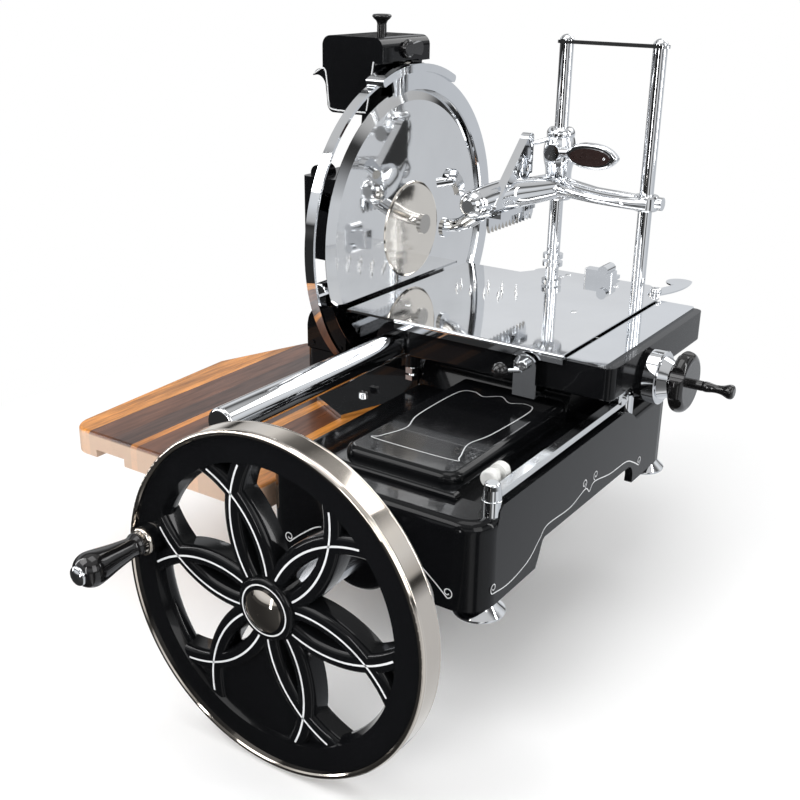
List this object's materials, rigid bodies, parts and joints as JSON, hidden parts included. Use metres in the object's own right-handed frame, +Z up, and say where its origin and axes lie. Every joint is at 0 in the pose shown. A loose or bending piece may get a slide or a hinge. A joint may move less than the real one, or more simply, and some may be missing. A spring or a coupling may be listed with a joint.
{
  "type": "hand crank meat slicer",
  "caption": "Flywheel slicer on a cast base: crank wheel, geared round blade in a guard ring, sliding food carriage with clamp arm on rods, sharpener and slice board.",
  "frame": {"origin": "centre of the four levelling feet, on the plane they stand on", "axes": "+Z up, +X from the blade to the food side, +Y away from the flywheel; the flywheel's shaft runs along Y and the blade's shaft along X"},
  "size_m": [0.5657, 0.7281, 0.532],
  "materials": {
    "black_enamel": "gloss",
    "chrome": "polished",
    "steel": "polished",
    "bronze": "satin",
    "black_handle": "gloss",
    "wood": "satin",
    "dark_inlay": "satin",
    "stone": "matte",
    "machine_steel": "satin"
  },
  "bodies": {
    "base": {"base_casting": "black_enamel", "levelling_feet": "steel", "tower_casting": "black_enamel", "tower_cover": "black_enamel", "guide_tube": "chrome", "tube_saddle": "chrome", "guide_rail": "steel", "rail_posts": "chrome", "carriage_buffer": "steel", "guard_ring": "chrome", "guard_lower_mount": "chrome", "board_clip_plate": "steel", "shaft_bushes": "bronze", "blade_bearing": "bronze", "drive_chain": "machine_steel", "sharpener_saddle": "chrome", "sharpener_housing": "black_enamel"},
    "flywheel": {"flywheel_casting": "black_enamel", "flywheel_band": "chrome", "hub_cap": "chrome", "flywheel_shaft": "machine_steel", "main_gear": "machine_steel", "handle_stud": "chrome", "handle_end_cap": "chrome"},
    "flywheel_grip": {"handle_grip": "black_handle"},
    "layshaft_group": {"layshaft": "machine_steel"},
    "cross_shaft_group": {"cross_shaft": "machine_steel"},
    "blade_group": {"blade": "steel", "blade_cover_plate": "chrome", "blade_shaft": "machine_steel"},
    "carriage": {"carriage_casting": "black_enamel", "carriage_end_plate": "steel", "carriage_bolt": "steel", "roller_bracket": "steel"},
    "roller": {"rail_roller": "machine_steel"},
    "food_table": {"table_plate": "steel", "table_guide_strips": "chrome", "table_spikes": "steel", "clamp_rods": "chrome", "rod_strap": "chrome", "end_stop": "chrome", "feed_nut": "bronze"},
    "feed": {"feed_knob": "black_handle", "feed_screw": "machine_steel"},
    "feed_spinner": {"feed_handle": "black_handle"},
    "dial": {"thickness_dial": "chrome"},
    "release": {"release_lever": "steel", "release_ball": "black_handle"},
    "arm": {"clamp_arm": "chrome", "press_plate": "steel", "link_rod": "chrome", "thumb_hook": "chrome"},
    "arm_lever": {"clamp_lever": "chrome", "lever_inlay": "dark_inlay"},
    "sharpener_push": {"sharpener_plunger": "black_handle", "grinding_stone": "stone"},
    "side_knob": {"stone_knob": "black_handle"},
    "tab": {"tab_lever": "steel"},
    "board": {"slice_board": "wood"}
  },
  "joints": [
    {"name": "flywheel_spin", "type": "hinge", "parent": "base", "child": "flywheel", "pos_m": [0, -0.2, 0.0471], "axis": [0, 1, 0], "continuous": true},
    {"name": "flywheel_grip_spin", "type": "hinge", "parent": "flywheel", "child": "flywheel_grip", "pos_m": [-0.12033, -0.365, 0.06724], "axis": [0, 1, 0], "continuous": true},
    {"name": "layshaft_spin", "type": "hinge", "parent": "base", "child": "layshaft_group", "pos_m": [-0.04129, -0.11, 0.065], "axis": [0, 1, 0], "continuous": true},
    {"name": "cross_shaft_spin", "type": "hinge", "parent": "base", "child": "cross_shaft_group", "pos_m": [-0.1, 0.178, 0.065], "axis": [1, 0, 0], "continuous": true},
    {"name": "blade_spin", "type": "hinge", "parent": "base", "child": "blade_group", "pos_m": [-0.2, 0.1433, 0.22], "axis": [1, 0, 0], "continuous": true},
    {"name": "carriage_slide", "type": "slide", "parent": "base", "child": "carriage", "axis": [0, 1, 0], "range_m": [-0.215, 0]},
    {"name": "roller_spin", "type": "hinge", "parent": "carriage", "child": "roller", "pos_m": [0.0992, 0.066, 0.1153], "axis": [1, 0, 0], "continuous": true},
    {"name": "table_feed", "type": "slide", "parent": "carriage", "child": "food_table", "axis": [1, 0, 0], "range_m": [0, 0.14]},
    {"name": "feed_knob_spin", "type": "hinge", "parent": "carriage", "child": "feed", "pos_m": [0.139, 0.106, 0.127], "axis": [-1, 0, 0], "range_deg": [0, 5040]},
    {"name": "feed_handle_spin", "type": "hinge", "parent": "feed", "child": "feed_spinner", "pos_m": [0.18, 0.106, 0.127], "axis": [1, 0, 0], "continuous": true},
    {"name": "thickness_dial_turn", "type": "hinge", "parent": "carriage", "child": "dial", "pos_m": [0.125, 0.106, 0.127], "axis": [1, 0, 0], "range_deg": [0, 150]},
    {"name": "release_lever_swing", "type": "hinge", "parent": "carriage", "child": "release", "pos_m": [0.031, 0.008, 0.148], "axis": [0, 1, 0], "range_deg": [-15, 15]},
    {"name": "clamp_arm_slide", "type": "slide", "parent": "food_table", "child": "arm", "axis": [0, 0, 1], "range_m": [-0.0435, 0.08]},
    {"name": "clamp_lever_lift", "type": "hinge", "parent": "arm", "child": "arm_lever", "pos_m": [-0.0724, 0.251, 0.3], "axis": [0, -1, 0], "range_deg": [0, 34]},
    {"name": "sharpener_push_slide", "type": "slide", "parent": "base", "child": "sharpener_push", "axis": [0, 0, -1], "range_m": [0, 0.006], "stiffness_N_per_m": 600, "springref_m": -0.004},
    {"name": "side_knob_turn", "type": "hinge", "parent": "base", "child": "side_knob", "pos_m": [-0.19, 0.143, 0.407], "axis": [1, 0, 0], "range_deg": [0, 60]},
    {"name": "tab_lever_swing", "type": "hinge", "parent": "food_table", "child": "tab", "pos_m": [0.055, 0.262, 0.162], "axis": [0, 0, 1], "range_deg": [-60, 0]},
    {"name": "board_slide", "type": "slide", "parent": "base", "child": "board", "axis": [1, 0, 0], "range_m": [-0.12, 0]}
  ],
  "couplings": [
    {"joint": "layshaft_spin", "follows": "flywheel_spin", "ratio": -2},
    {"joint": "cross_shaft_spin", "follows": "flywheel_spin", "ratio": 2},
    {"joint": "blade_spin", "follows": "flywheel_spin", "ratio": 3},
    {"joint": "feed_knob_spin", "follows": "table_feed", "rad_per_m": 628.32}
  ]
}
